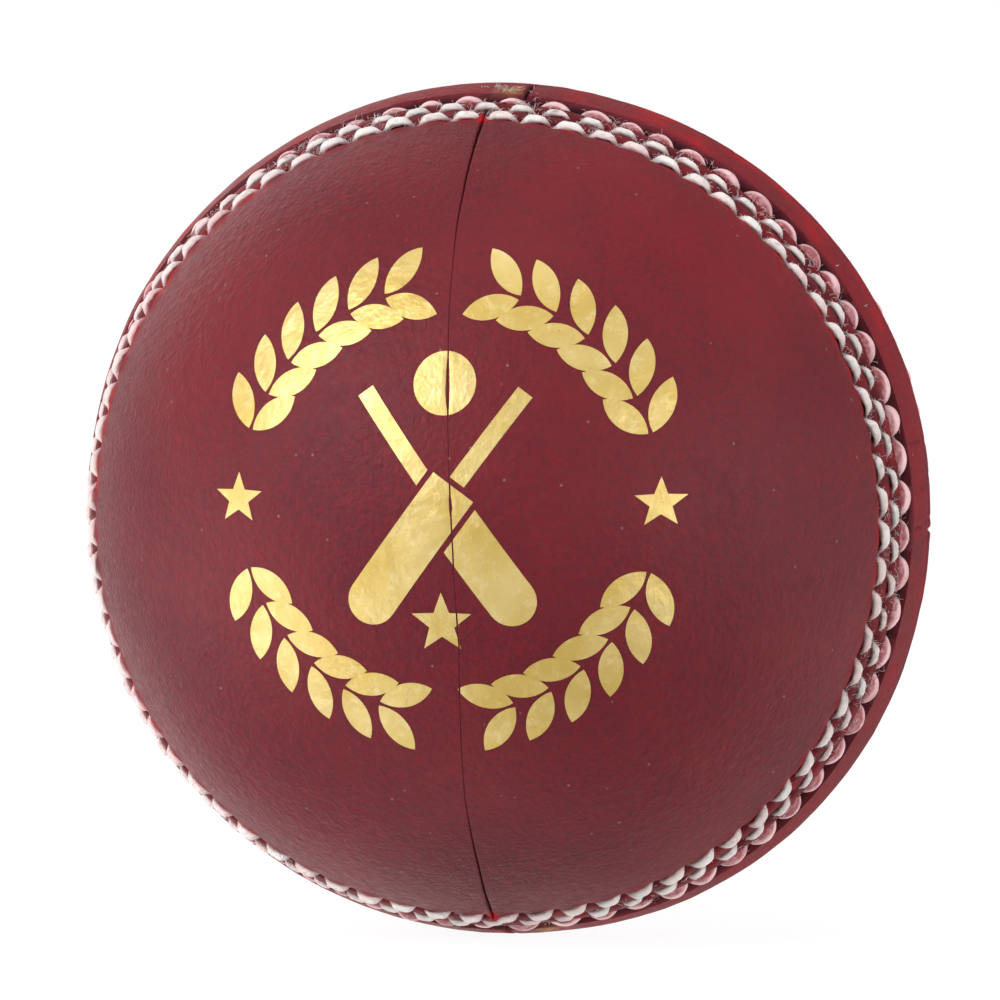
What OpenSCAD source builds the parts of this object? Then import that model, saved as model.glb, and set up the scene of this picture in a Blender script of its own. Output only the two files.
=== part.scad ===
// Four-piece cricket ball, built from its nucleus outwards.
// The seam axis lies along Y, with the stamped half facing -Y, and the origin is the ball's centre.
// Latitudes are measured from the parting plane (y = 0) towards each half's pole.

/* [Cover] */
// Radius of the leather crown
crown_r = 35.9; // [35.2:0.1:36.2]
// Thickness of the cover leather
leather_t = 3.9; // [3.7:0.1:4.2]
// Rise of the seam ridge above the crown, at the parting line
ridge_rise = 0.4; // [0.3:0.05:0.6]
// Half-width of the leather ridge between the two inner stitch rows
ridge_half_w = 5; // [4.5:0.1:5.1]

/* [Machine rows] */
// Latitude of the outermost row of each half, in degrees
outer_row_lat = 19; // [18.5:0.1:20]
// Latitude of the middle row of each half, in degrees
middle_row_lat = 15.2; // [14.8:0.1:15.6]
// Stitches in each machine row
machine_stitches = 72; // [68:4:72]
// Diameter of the machine thread
machine_thread_d = 0.7; // [0.6:0.05:0.75]
// Turn of the middle row against the outer row, as a share of one stitch
middle_row_shift = 0.55; // [0.3:0.05:0.7]
// Slant of each machine stitch across its row, in degrees
stitch_slant = 10; // [0:1:14]

/* [Primary seam] */
// Latitude of the inner row of each half, in degrees
inner_row_lat = 10; // [9.6:0.1:10.4]
// Stitches in each inner row
primary_stitches = 68; // [64:4:68]
// Diameter of the hand-sewn primary thread
primary_thread_d = 1.2; // [1:0.05:1.25]

/* [Quarter seams] */
// Diameter of the hidden quarter-seam thread
quarter_thread_d = 0.6; // [0.5:0.05:0.8]
// Hidden stitches in each quarter seam
quarter_stitches = 34; // [24:2:40]

/* [Core] */
// Radius of the moulded cork and rubber nucleus
nucleus_r = 19; // [17:0.5:20]
// Thickness of each layer of wound yarn but the outermost
yarn_t = 2.3; // [2:0.1:2.6]
// Thickness of each layer of cork strips
cork_t = 2.8; // [2.4:0.1:2.8]
// Cork strips in each layer
cork_strips = 8; // [6:1:12]

/* [Foil stamp] */
// Thickness of the gold foil
foil_t = 0.05; // [0.04:0.01:0.1]
// Radius of the ring of leaves
wreath_r = 17.9; // [17:0.1:18.5]
// How far the stamp's middle lies above its half's pole
stamp_up = 2.7; // [0:0.1:3]
// Leaf pairs in each of the wreath's four sprays
leaf_pairs = 6; // [4:1:7]

/* [Hidden] */
$fn = 96;

ridge_top_r = crown_r + ridge_rise;
cover_in_r = crown_r - leather_t;

// The ridge is an arc through its top that meets the crown at ridge_half_w.
ridge_foot_x = sqrt(crown_r * crown_r - ridge_half_w * ridge_half_w);
ridge_gap = ridge_top_r - ridge_foot_x;
ridge_arc_r = (ridge_gap * ridge_gap + ridge_half_w * ridge_half_w) / (2 * ridge_gap);

inner_cork_r = nucleus_r + yarn_t;
middle_yarn_r = inner_cork_r + cork_t;
outer_cork_r = middle_yarn_r + yarn_t;
outer_yarn_r = outer_cork_r + cork_t;

// Clear space between neighbouring stitches of a row, where they share a hole
stitch_gap = 0.06;
// Each machine stitch stands this far above the crown, in a groove with this half-width
machine_rise = 0.55;
machine_groove_half_w = 0.58;
// Run of the needle thread under each machine row, and how far below the crown it lies
machine_run_d = 0.72;
machine_run_r = crown_r - 0.95;
// The bobbin thread lies just under that run
bobbin_d = 0.6;
bobbin_run_r = machine_run_r - (machine_run_d + bobbin_d) / 2 - 0.03;
// The primary stitches lie in a deep channel beside the ridge, with a groove for their legs
primary_rise = 0.25;
primary_channel_r = 1.15;
primary_groove_half_w = 0.64;
primary_run_d = 1.25;
primary_run_r = crown_r - 1.55;
primary_rung_d = 0.9;
// The quarter seam's thread runs inside the leather, on both sides of the joint
quarter_run_x = 1.6;
quarter_run_r = cover_in_r + 1.3;
quarter_span = 62;
// Shortest way from a cork strip's end to the poles, and the space between strips
strip_end_r = 1.5;
strip_gap = 0.2;

leather_red = [0.42, 0.09, 0.12];
thread_white = [0.92, 0.89, 0.86];
thread_pink = [0.85, 0.5, 0.53];
yarn_cream = [0.8, 0.72, 0.58];
cork_brown = [0.66, 0.47, 0.3];
cork_rubber = [0.36, 0.25, 0.18];
foil_gold = [0.9, 0.75, 0.36];

function row_pitch(lat, count) = 2 * crown_r * cos(lat) * sin(180 / count);

// ---- placing ----

// Turns a shape made round +Z to the front half, or mirrors it to the back half.
module half(front) {
    if (front) rotate([90, 0, 0]) children();
    else mirror([0, 1, 0]) rotate([90, 0, 0]) children();
}

// Puts a shape at a latitude and a turn round the seam axis: its +X is then the outward normal.
module at_row(lat, turn, r) {
    rotate([0, 0, turn]) rotate([0, -lat, 0]) translate([r, 0, 0]) children();
}

// ---- stitching ----

// One stitch: a half ring of thread that stands on the surface, with both ends in its holes.
module stitch(lat, turn, span, thread_d, rise, slant) {
    at_row(lat, turn, crown_r + rise - thread_d / 2 - span / 2)
        rotate([slant, 0, 0]) rotate([0, 0, -90])
            rotate_extrude(angle = 180) translate([span / 2, 0]) circle(d = thread_d);
}

// A run of thread under a row, all the way round
module run(lat, run_r, run_d) {
    translate([0, 0, run_r * sin(lat)])
        rotate_extrude() translate([run_r * cos(lat), 0]) circle(d = run_d);
}

// A whole machine row of needle thread, with its run underneath
module machine_row(lat, shift) {
    step = 360 / machine_stitches;
    span = row_pitch(lat, machine_stitches) - machine_thread_d - stitch_gap;
    run(lat, machine_run_r, machine_run_d);
    for (k = [0:machine_stitches - 1])
        stitch(lat, (k + 0.5 + shift) * step, span, machine_thread_d, machine_rise, stitch_slant);
}

// One side of the primary thread: its surface stitches and the run under them
module inner_row() {
    step = 360 / primary_stitches;
    span = row_pitch(inner_row_lat, primary_stitches) - primary_thread_d - stitch_gap;
    run(inner_row_lat, primary_run_r, primary_run_d);
    for (k = [0:primary_stitches - 1])
        stitch(inner_row_lat, (k + 0.5) * step, span, primary_thread_d, primary_rise, 0);
}

// The rungs of the primary thread, which cross the parting plane and pull the two halves together
module primary_rungs(first, last) {
    rung_l = 2 * primary_run_r * sin(inner_row_lat);
    for (k = [first:last])
        rotate([0, 0, k * 360 / primary_stitches])
            translate([primary_run_r * cos(inner_row_lat), 0, -rung_l / 2])
                cylinder(d = primary_rung_d, h = rung_l);
}

// The hidden thread of a quarter seam, for a joint in the plane x = 0 of the half's own frame
module quarter_thread() {
    for (side = [-1, 1])
        translate([side * quarter_run_x, 0, 0]) rotate([0, -90, 0])
            rotate([0, 0, -quarter_span]) rotate_extrude(angle = 2 * quarter_span)
                translate([quarter_run_r, 0]) circle(d = quarter_thread_d);
    for (k = [0:quarter_stitches - 1])
        rotate([quarter_span * (2 * (k + 0.5) / quarter_stitches - 1), 0, 0])
            translate([-quarter_run_x, 0, quarter_run_r]) rotate([0, 90, 0])
                cylinder(d = quarter_thread_d * 0.9, h = 2 * quarter_run_x);
}

// ---- cover ----

// A groove's section: straight sides down to the middle of what lies in its floor
module groove_section(half_w, floor_r) {
    translate([floor_r, -half_w]) square([ridge_top_r - floor_r, 2 * half_w]);
}

// Section of one half of the cover: the crown, the ridge and the grooves that its three rows lie in
module cover_section() {
    intersection() {
        difference() {
            union() {
                circle(r = crown_r);
                translate([ridge_top_r - ridge_arc_r, 0]) circle(r = ridge_arc_r);
            }
            circle(r = cover_in_r);
            rotate(inner_row_lat) {
                translate([crown_r, 0]) circle(r = primary_channel_r);
                groove_section(primary_groove_half_w, primary_run_r);
                translate([primary_run_r, 0]) circle(d = primary_run_d);
            }
            for (lat = [middle_row_lat, outer_row_lat]) rotate(lat) {
                groove_section(machine_groove_half_w, bobbin_run_r);
                translate([bobbin_run_r, 0]) circle(d = bobbin_d);
            }
        }
        square(2 * crown_r);
    }
}

// One quarter of the cover: half a turn of the section from turn on, with the holes of its hidden threads
module leather_quarter(turn, joint) {
    first_rung = round(turn / 360 * primary_stitches);
    difference() {
        rotate([0, 0, turn]) rotate_extrude(angle = 180) cover_section();
        primary_rungs(first_rung, first_rung + primary_stitches / 2);
        rotate([0, 0, joint]) quarter_thread();
    }
}

// ---- core ----

module yarn_shell(in_r, out_r) {
    difference() {
        sphere(r = out_r);
        sphere(r = in_r);
    }
}

// A layer of cork strips laid from pole to pole, each cut back at its ends
module cork_layer(in_r, out_r) {
    gap_turn = asin(strip_gap / in_r);
    for (k = [0:cork_strips - 1])
        rotate([0, 0, k * 360 / cork_strips])
            rotate_extrude(angle = 360 / cork_strips - gap_turn)
                intersection() {
                    difference() {
                        circle(r = out_r);
                        circle(r = in_r);
                    }
                    translate([strip_end_r, -out_r]) square([out_r, 2 * out_r]);
                }
}

// ---- foil stamp ----

// A pointed leaf along +X: the lens where two circles cross
module leaf(length, width) {
    r = (length * length / 4 + width * width / 4) / width;
    intersection() {
        translate([length / 2, r - width / 2]) circle(r = r);
        translate([length / 2, width / 2 - r]) circle(r = r);
    }
}

// One spray of the wreath: pairs of leaves along an arc that starts beside the gap at 3 o'clock
module spray() {
    leaf_l = 4.7;
    leaf_w = 2;
    first_turn = 18;
    turn_step = 10.5;
    for (k = [0:leaf_pairs - 1], side = [-1, 1])
        rotate(first_turn + k * turn_step) translate([wreath_r, 0])
            rotate(90 + side * 34) translate([0.35, 0]) leaf(leaf_l, leaf_w);
}

module star(r) {
    polygon([for (k = [0:9]) let(q = k % 2 == 0 ? r : 0.42 * r) [q * sin(36 * k), q * cos(36 * k)]]);
}

// A cricket bat, handle up, turned about its middle
module bat(lean) {
    blade_l = 11.8;
    blade_w = 4.2;
    blade_low = -10;
    handle_l = 9.2;
    handle_w = 1.5;
    handle_low = blade_low + blade_l + 0.5;
    rotate(lean) {
        translate([-blade_w / 2, blade_low]) square([blade_w, blade_l]);
        translate([0, blade_low]) circle(d = blade_w);
        translate([-handle_w / 2, handle_low]) square([handle_w, handle_l]);
    }
}

// Crossed bats with a ball above and a star below, inside a wreath of leaves
module emblem() {
    bat_lean = 36;
    bat_gap = 5.2;
    star_r = 2.2;
    motif_y = 10;
    for (flip_x = [0, 1], flip_y = [0, 1])
        mirror([flip_x, 0]) mirror([0, flip_y]) spray();
    for (side = [-1, 1]) translate([side * wreath_r, 0]) star(star_r);
    difference() {
        bat(bat_lean);
        rotate(-bat_lean) square([bat_gap, wreath_r], center = true);
    }
    bat(-bat_lean);
    translate([0, motif_y]) circle(d = 2.4 * star_r);
    translate([0, -motif_y]) star(1.2 * star_r);
}

module foil_shell() {
    difference() {
        sphere(r = crown_r + foil_t);
        sphere(r = crown_r);
    }
}

// ---- nodes ----

module core_nucleus() { color(cork_rubber) sphere(r = nucleus_r); }
module inner_yarn_winding() { color(yarn_cream) yarn_shell(nucleus_r, inner_cork_r); }
module inner_cork_strips() { color(cork_brown) cork_layer(inner_cork_r, middle_yarn_r); }
module middle_yarn_winding() { color(yarn_cream) yarn_shell(middle_yarn_r, outer_cork_r); }
module outer_cork_strips() { color(cork_brown) rotate([0, 90, 0]) cork_layer(outer_cork_r, outer_yarn_r); }
module outer_yarn_winding() { color(yarn_cream) yarn_shell(outer_yarn_r, cover_in_r); }

module front_left_leather() { color(leather_red) half(true) leather_quarter(90, 0); }
module front_right_leather() { color(leather_red) half(true) leather_quarter(-90, 0); }
module back_upper_leather() { color(leather_red) half(false) leather_quarter(0, 90); }
module back_lower_leather() { color(leather_red) half(false) leather_quarter(180, 90); }

module front_quarter_seam_thread() { color(thread_white) half(true) quarter_thread(); }
module back_quarter_seam_thread() { color(thread_white) half(false) rotate([0, 0, 90]) quarter_thread(); }

module primary_seam_thread() {
    color(thread_pink) {
        half(true) inner_row();
        half(false) inner_row();
        half(true) primary_rungs(0, primary_stitches - 1);
    }
}

module front_outer_row_thread() {
    color(thread_white) half(true) machine_row(outer_row_lat, 0);
}
module front_middle_row_thread() {
    color(thread_white) half(true) machine_row(middle_row_lat, middle_row_shift);
}
module back_middle_row_thread() {
    color(thread_white) half(false) machine_row(middle_row_lat, middle_row_shift);
}
module back_outer_row_thread() {
    color(thread_white) half(false) machine_row(outer_row_lat, 0);
}

module front_outer_row_bobbin() {
    color(thread_white) half(true) run(outer_row_lat, bobbin_run_r, bobbin_d);
}
module front_middle_row_bobbin() {
    color(thread_white) half(true) run(middle_row_lat, bobbin_run_r, bobbin_d);
}
module back_middle_row_bobbin() {
    color(thread_white) half(false) run(middle_row_lat, bobbin_run_r, bobbin_d);
}
module back_outer_row_bobbin() {
    color(thread_white) half(false) run(outer_row_lat, bobbin_run_r, bobbin_d);
}

module gold_foil_stamp() {
    color(foil_gold) half(true) intersection() {
        foil_shell();
        linear_extrude(height = 2 * crown_r) translate([0, stamp_up]) emblem();
    }
}

core_nucleus();
inner_yarn_winding();
inner_cork_strips();
middle_yarn_winding();
outer_cork_strips();
outer_yarn_winding();
front_left_leather();
front_right_leather();
back_upper_leather();
back_lower_leather();
front_quarter_seam_thread();
back_quarter_seam_thread();
primary_seam_thread();
front_outer_row_thread();
front_outer_row_bobbin();
front_middle_row_thread();
front_middle_row_bobbin();
back_middle_row_thread();
back_middle_row_bobbin();
back_outer_row_thread();
back_outer_row_bobbin();
gold_foil_stamp();
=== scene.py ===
import math
import bpy
import numpy as np
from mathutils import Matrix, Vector
from mathutils.geometry import delaunay_2d_cdt


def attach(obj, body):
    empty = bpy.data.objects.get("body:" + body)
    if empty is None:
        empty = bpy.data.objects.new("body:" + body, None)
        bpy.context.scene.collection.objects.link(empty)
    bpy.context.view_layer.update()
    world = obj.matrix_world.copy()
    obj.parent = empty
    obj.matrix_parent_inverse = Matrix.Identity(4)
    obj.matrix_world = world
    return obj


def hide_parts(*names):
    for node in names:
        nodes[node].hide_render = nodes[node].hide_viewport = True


# Cricket ball. Sizes are in millimetres until a mesh is made. The seam axis is Y, the stamped half faces -Y,
# lat is the angle from the parting plane towards a half's pole, and turn is the angle from +X towards +Z.

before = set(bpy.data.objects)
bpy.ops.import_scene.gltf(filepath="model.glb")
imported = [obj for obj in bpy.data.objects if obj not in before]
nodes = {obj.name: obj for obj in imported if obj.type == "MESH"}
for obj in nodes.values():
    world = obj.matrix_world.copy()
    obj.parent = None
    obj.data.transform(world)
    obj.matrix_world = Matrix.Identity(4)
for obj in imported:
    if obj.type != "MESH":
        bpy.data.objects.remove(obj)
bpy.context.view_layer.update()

MM = 0.001
CROWN_R = 35.9
RIDGE_TOP_R = 36.3
RIDGE_HALF_W = 5.0
INNER_R = 32.0
OUTER_LAT = 19.0
MIDDLE_LAT = 15.2
INNER_LAT = 10.0
MACHINE_STITCHES = 72
PRIMARY_STITCHES = 68
MIDDLE_SHIFT = 0.55
CHANNEL_DEPTH = 1.25
PARTING_HALF_W = 0.09
MACHINE_FUZZ = 700
PRIMARY_FUZZ = 420
SCUFF_FIBRES = 46
STAMP_UP = 2.7
WREATH_R = 17.9
STAR_R = 2.2
BIG_STAR_R = 1.2 * STAR_R
DEG = math.pi / 180

# The ridge's profile is an arc that meets the crown at RIDGE_HALF_W: its radius, and its centre's distance
_gap = RIDGE_TOP_R - math.sqrt(CROWN_R ** 2 - RIDGE_HALF_W ** 2)
RIDGE_ARC_R = (_gap ** 2 + RIDGE_HALF_W ** 2) / (2 * _gap)
RIDGE_ARC_C = RIDGE_TOP_R - RIDGE_ARC_R

# Loose ends of thread lying across the ridge: turn, latitude and length
RIDGE_FIBRES = [(36.2, 7.6, 1.1), (29.6, 6.4, 1.2)]

# Scuffed, frayed patches on the ridge at the ends of the front joint: turn, half length, from and to, seed
RIDGE_SCUFFS = [(88.7, 1.2, 1.9, 5.2, 16), (-83.0, 1.3, 2.4, 5.2, 18)]

# How far the ball's outline stands out of a true circle, in millimetres at angles about its Y axis
ROUND_ANGLE = [-180, -165, -135, -100, -82, -68, -50, -32, -15, 0, 40, 75, 90, 105, 130, 150, 168, 180]
ROUND_SWELL = [-0.1, -0.05, 0, 0.14, 0.2, 0.52, 0.62, 0.46, 0.1, -0.05, -0.13, -0.2, 0, 0.14, 0.16, 0.14,
               -0.06, -0.1]

# Sideways run of each half's joint, in millimetres at angles along it from the pole, top end positive
JOINT_ANGLE = [-90, -82, -74, -54, -39, -15, 0, 14, 32, 45, 63, 72, 75, 79, 90]
JOINT_SHIFT = [1.2, 0.5, 0.6, 0.9, 0.8, 1.4, 1.0, 0.5, -0.1, -0.3, -0.2, -0.2, 0.0, 2.25, 2.35]


# ---- noise ----

def lattice(ix, iy, iz, seed):
    h = (ix * 73856093) ^ (iy * 19349663) ^ (iz * 83492791) ^ (seed * 40503)
    h &= 0xFFFFFFFF
    h = ((h ^ (h >> 13)) * 1274126177) & 0xFFFFFFFF
    h ^= h >> 16
    return (h & 0xFFFFFF) / float(0xFFFFFF) * 2 - 1


def noise(p, scale, seed=0):
    """Smooth noise from -1 to 1 at points p, with one cell per 1/scale millimetres."""
    q = p * scale + 1000.0
    base = np.floor(q).astype(np.int64)
    f = q - base
    f = f * f * (3 - 2 * f)
    out = 0
    for dx in (0, 1):
        for dy in (0, 1):
            for dz in (0, 1):
                w = (f[:, 0] if dx else 1 - f[:, 0]) * (f[:, 1] if dy else 1 - f[:, 1])
                w = w * (f[:, 2] if dz else 1 - f[:, 2])
                out = out + w * lattice(base[:, 0] + dx, base[:, 1] + dy, base[:, 2] + dz, seed)
    return out


def fractal(p, scale, octaves=3, seed=0):
    out, gain = 0, 1.0
    for k in range(octaves):
        out = out + gain * noise(p, scale * 2 ** k, seed + 17 * k)
        gain *= 0.5
    return out / 1.75


def smooth(x, a, b):
    t = np.clip((x - a) / (b - a), 0, 1)
    return t * t * (3 - 2 * t)


# ---- the leather's surface ----

def to_dir(lat, turn, front):
    y = -np.sin(lat) if front else np.sin(lat)
    return np.stack([np.cos(lat) * np.cos(turn), y + 0 * turn, np.cos(lat) * np.sin(turn)], -1)


def joint_shift(d, front):
    """How far the half's joint lies from its own plane beside each point, in millimetres."""
    along = d[:, 2] if front else d[:, 0]
    angle = np.degrees(np.arctan2(along, np.abs(d[:, 1])))
    amount = np.interp(angle, JOINT_ANGLE, JOINT_SHIFT)
    return amount if front else -0.7 * amount


def warp(d, front):
    """Moves directions sideways so that the joint's plane becomes its real, wandering line."""
    axis = 0 if front else 2
    near = np.exp(-(d[:, axis] * CROWN_R / 9.0) ** 2)
    d = d.copy()
    d[:, axis] += joint_shift(d, front) / CROWN_R * near
    return d / np.linalg.norm(d, axis=1)[:, None]


def joint_gap(d, front):
    """Distance of each point from the half's joint, and its angle along it from the pole."""
    axis = 0 if front else 2
    along = d[:, 2] if front else d[:, 0]
    gap = np.abs(d[:, axis] * CROWN_R - joint_shift(d, front))
    return gap, np.degrees(np.arctan2(along, np.abs(d[:, 1])))


# Cracks and creases that cross the ridge: turn, where each runs from and to in height, width and depth
RIDGE_CREASES = [
    (9.3, 0.8, 4.6, 0.12, 0.10), (4.4, 0.2, 3.4, 0.10, 0.08), (-1.2, 0.5, 4.8, 0.13, 0.12),
    (-4.0, 0.1, 2.9, 0.10, 0.07), (-21.0, 1.6, 4.4, 0.09, 0.06), (33.0, 0.6, 2.8, 0.09, 0.06),
    (57.5, 0.3, 3.2, 0.10, 0.07), (-48.0, 0.4, 3.9, 0.11, 0.07), (121.0, 0.3, 3.8, 0.1, 0.07),
    (171.0, 0.2, 4.2, 0.12, 0.09), (212.0, 0.4, 3.6, 0.1, 0.08), (-71.0, 0.2, 3.0, 0.1, 0.07),
]


class Skin:
    """The leather's radius r in each direction d, and its marks: red, dark, scuff and wrinkle. Dark is painted
    shade in the channels, holes and creases, and the real dark of the joints; some of the red is painted light
    and shade.
    """

    def __init__(self, d, front):
        self.d, self.front = d, front
        self.p = d * CROWN_R
        self.lat = np.arcsin(np.clip(-d[:, 1] if front else d[:, 1], -1, 1))
        self.turn = np.degrees(np.arctan2(d[:, 2], d[:, 0]))
        self.h = CROWN_R * np.sin(self.lat)
        self.wander = 0.1 * noise(self.p, 0.16, 5) + 0.05 * noise(self.p, 0.7, 6)
        self.red, self.dark, self.scuff, self.wrinkle = np.zeros((4, len(d)))
        under = np.maximum(RIDGE_ARC_R ** 2 - (RIDGE_ARC_C * np.sin(self.lat)) ** 2, 0.01)
        ridge = RIDGE_ARC_C * np.cos(self.lat) + np.sqrt(under)
        r = np.where(np.abs(self.h) < RIDGE_HALF_W, ridge, CROWN_R)
        r = r + 0.05 * fractal(self.p, 0.09, 3, 1) * smooth(self.lat / DEG, 20, 34)
        self.r = r + 0.035 * fractal(self.p, 0.45, 3, 2) + 0.012 * fractal(self.p, 1.6, 2, 3)

    def redden(self, amount):
        self.red = np.maximum(self.red, amount)

    def darken(self, amount):
        self.dark = np.maximum(self.dark, amount)

    def roll_of_the_ridge(self):
        """The lumpy roll and its parting line; its red is stronger above, where the picture shows it."""
        on_ridge = smooth(RIDGE_HALF_W - self.h, 0, 0.8)
        self.r = self.r + on_ridge * 0.05 * fractal(self.p, 0.35, 3, 8)
        # The extra red where the ridge faces up is painted light: its top side is lit from above.
        above = smooth(np.sin(self.turn * DEG), 0.2, 0.9)
        self.redden(on_ridge * (0.36 + 0.22 * above + 0.5 * fractal(self.p, 0.3, 3, 22)))
        parting = np.exp(-(self.h / PARTING_HALF_W) ** 2)
        self.r = self.r - 0.12 * parting
        self.darken(0.8 * parting)

    def primary_channel(self):
        """The deep channel of the primary stitches, steeper on the ridge's side."""
        s = (self.lat - INNER_LAT * DEG) * CROWN_R + self.wander + 0.1
        on_ridge = s < 0
        channel = np.clip(1 - (s / np.where(on_ridge, 1.25, 1.7)) ** 2, 0, 1) ** np.where(on_ridge, 0.36, 0.62)
        self.r = self.r - CHANNEL_DEPTH * channel
        # Its darkening is painted shade in the deep groove beside the beads.
        self.darken(np.where(on_ridge, smooth(channel, 0.02, 0.5), smooth(channel, 0.2, 0.8)))

    def strip_between_rows(self):
        """The strip between the bead row and the outer rows lies a little low and rough."""
        strip = smooth(self.lat / DEG, 11.8, 12.8) * (1 - smooth(self.lat / DEG, 18.6, 19.6))
        self.r = self.r - strip * (0.06 + 0.06 * fractal(self.p, 1.1, 3, 9))
        self.redden(strip * (0.42 + 0.5 * fractal(self.p, 0.8, 3, 10)))
        self.darken(strip * np.clip(0.34 + 0.6 * fractal(self.p, 0.9, 3, 11), 0, 1))

    def machine_rows(self):
        """Each row's shallow valley, with a puckered hole where neighbouring stitches meet."""
        pitch = 360 / MACHINE_STITCHES
        for row_lat, shift, deep in ((OUTER_LAT, 0.0, 1.0), (MIDDLE_LAT, MIDDLE_SHIFT, 0.9)):
            s = (self.lat - row_lat * DEG) * CROWN_R + 0.5 * self.wander
            u = (self.turn - shift * pitch + pitch / 2) % pitch - pitch / 2
            u = u * DEG * CROWN_R * np.cos(row_lat * DEG)
            hole = np.exp(-((u / 0.40) ** 2 + (s / 0.42) ** 2))
            valley = np.exp(-(s / 0.46) ** 2)
            pucker = np.exp(-((s - 0.75) / 0.5) ** 2) * np.cos(u / (pitch * DEG * 34) * 2 * math.pi)
            self.r = self.r - 0.26 * deep * valley - 0.5 * deep * hole - 0.05 * pucker
            # Darkening the holes and valleys is painted shade in these hollows.
            self.darken(np.maximum(0.85 * hole, 0.45 * valley))
            if row_lat == OUTER_LAT:
                self.tide_mark(s, u)

    def tide_mark(self, s, u):
        """Red dye drawn out of the outer row's holes, s and u millimetres across and along the row."""
        # The tide is wider and redder on the left side (-X): that extra red is painted shade, standing for the
        # dark-red band where the leather rolls away beside the stitches.
        left = smooth(-np.cos(self.turn * DEG), 0.3, 0.9)
        tide = np.exp(-((s - 0.35) / (0.75 + 0.45 * left)) ** 2)
        self.redden(tide * (0.65 + 0.25 * left + 0.95 * fractal(self.p, 0.55, 3, 12)))
        near = np.exp(-((s - 0.55) / 0.35) ** 2 - ((u - 0.25) / 0.8) ** 2)
        self.redden(near * (0.75 + 0.4 * noise(self.p, 0.9, 13)))

    def warm_patch(self):
        """A warmer patch of the front crown, towards +X and +Z beside the stitches."""
        patch = np.exp(-((self.turn - 58) / 24) ** 2) * smooth(self.lat / DEG, 60, 26)
        patch = patch * smooth(self.lat / DEG, 17, 20)
        self.redden(patch * (0.32 + 0.25 * fractal(self.p, 0.3, 3, 20)))

    def joint(self):
        """The joint between the two quarters opens towards its ends, where the dye is bright."""
        gap, along = joint_gap(self.d, self.front)
        along = np.abs(along)
        open_up = smooth(along, 34, 70)
        past_rows = smooth(along, 77, 79)
        half_w = 0.035 + 0.06 * open_up * (1 + 0.8 * noise(self.p, 1.1, 14)) + 0.10 * past_rows
        depth = (0.05 + 0.28 * open_up) * (1 + 0.5 * smooth(along, 76, 80))
        cleft = np.exp(-(gap / half_w) ** 2)
        lips = np.exp(-((gap - 0.45) / 0.4) ** 2)
        self.r = self.r - depth * cleft + 0.03 * lips * open_up
        self.darken(cleft * (0.40 + 0.35 * open_up + 0.25 * past_rows))
        at_end = np.exp(-((along - 70.5) / 1.6) ** 2) * np.exp(-(gap / 0.9) ** 2)
        self.redden(1.3 * at_end)
        nib = np.exp(-((along - 71.0) / 0.8) ** 2 - (gap / 0.5) ** 2) if self.front else 0 * gap
        self.r = self.r + 0.75 * nib
        self.dark = self.dark * (1 - np.clip(1.6 * nib, 0, 1)) * (1 - 0.8 * np.clip(at_end, 0, 1))
        self.wrinkle = np.maximum(self.wrinkle, 0.45 * np.exp(-(gap / 5) ** 2) * smooth(along, 38, 58))

    def across(self, at, wobble=0.0):
        """Millimetres round the ball from the turn at, in degrees."""
        return ((self.turn - at - wobble + 180) % 360 - 180) * DEG * CROWN_R

    def ridge_creases(self):
        for at, low, high, width, deep in RIDGE_CREASES:
            u = self.across(at, 1.2 * noise(self.p, 0.5, 15))
            line = np.exp(-(u / width) ** 2) * smooth(self.h, low, low + 0.4)
            line = line * (1 - smooth(self.h, high - 0.6, high))
            self.r = self.r - deep * line
            # Darkening the creases is painted shade in their hollows.
            self.darken(0.6 * line)

    def ridge_scuffs(self):
        for at, reach, low, high, seed in RIDGE_SCUFFS:
            patch = np.exp(-(self.across(at) / reach) ** 4) * smooth(self.h, low, low + 0.8)
            patch = patch * (1 - smooth(self.h, high - 0.8, high))
            frayed = patch * (0.75 + 1.6 * fractal(self.p, 1.9, 3, seed))
            self.scuff = np.maximum(self.scuff, np.clip(frayed, 0, 1))
            self.r = self.r + 0.14 * patch * fractal(self.p, 2.2, 3, seed + 1)


def skin(d, front):
    """The leather's radius in each direction, and its four marks from 0 to 1, with painted shade among them."""
    s = Skin(d, front)
    s.roll_of_the_ridge()
    s.primary_channel()
    s.strip_between_rows()
    s.machine_rows()
    if front:
        s.warm_patch()
    s.joint()
    s.ridge_creases()
    if front:
        s.ridge_scuffs()
    s.wrinkle = np.maximum(s.wrinkle, 0.55 * smooth(-d[:, 0], 0.6, 0.9))
    return s.r, np.stack([np.clip(c, 0, 1) for c in (s.red, s.dark, s.scuff, s.wrinkle)], -1)


# ---- making meshes ----

def out_of_round(v):
    """The pictured ball is a little out of round about its Y axis: fuller towards +X and -Z."""
    around = np.degrees(np.arctan2(v[:, 2], v[:, 0]))
    reach = np.hypot(v[:, 0], v[:, 2]) / CROWN_R
    swell = np.interp(around, ROUND_ANGLE, ROUND_SWELL)
    return v * (1 + swell * np.clip(reach, 0, 1) ** 4 / CROWN_R)[:, None]


def finish_mesh(name, verts, faces, sharp=None):
    me = bpy.data.meshes.new(name)
    verts = out_of_round(np.asarray(verts))
    me.from_pydata((verts * MM).tolist(), [], [list(map(int, f)) for f in faces])
    me.validate()
    me.update()
    ob = bpy.data.objects.new(name, me)
    bpy.context.scene.collection.objects.link(ob)
    me.polygons.foreach_set("use_smooth", [True] * len(me.polygons))
    if sharp:
        me.set_sharp_from_angle(angle=sharp)
    return ob


def add_colour(ob, name, values):
    at = ob.data.attributes.new(name, "FLOAT_COLOR", "POINT")
    at.data.foreach_set("color", np.asarray(values, np.float32).ravel())


def add_vector(ob, name, values):
    at = ob.data.attributes.new(name, "FLOAT_VECTOR", "POINT")
    at.data.foreach_set("vector", np.asarray(values, np.float32).ravel())


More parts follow.
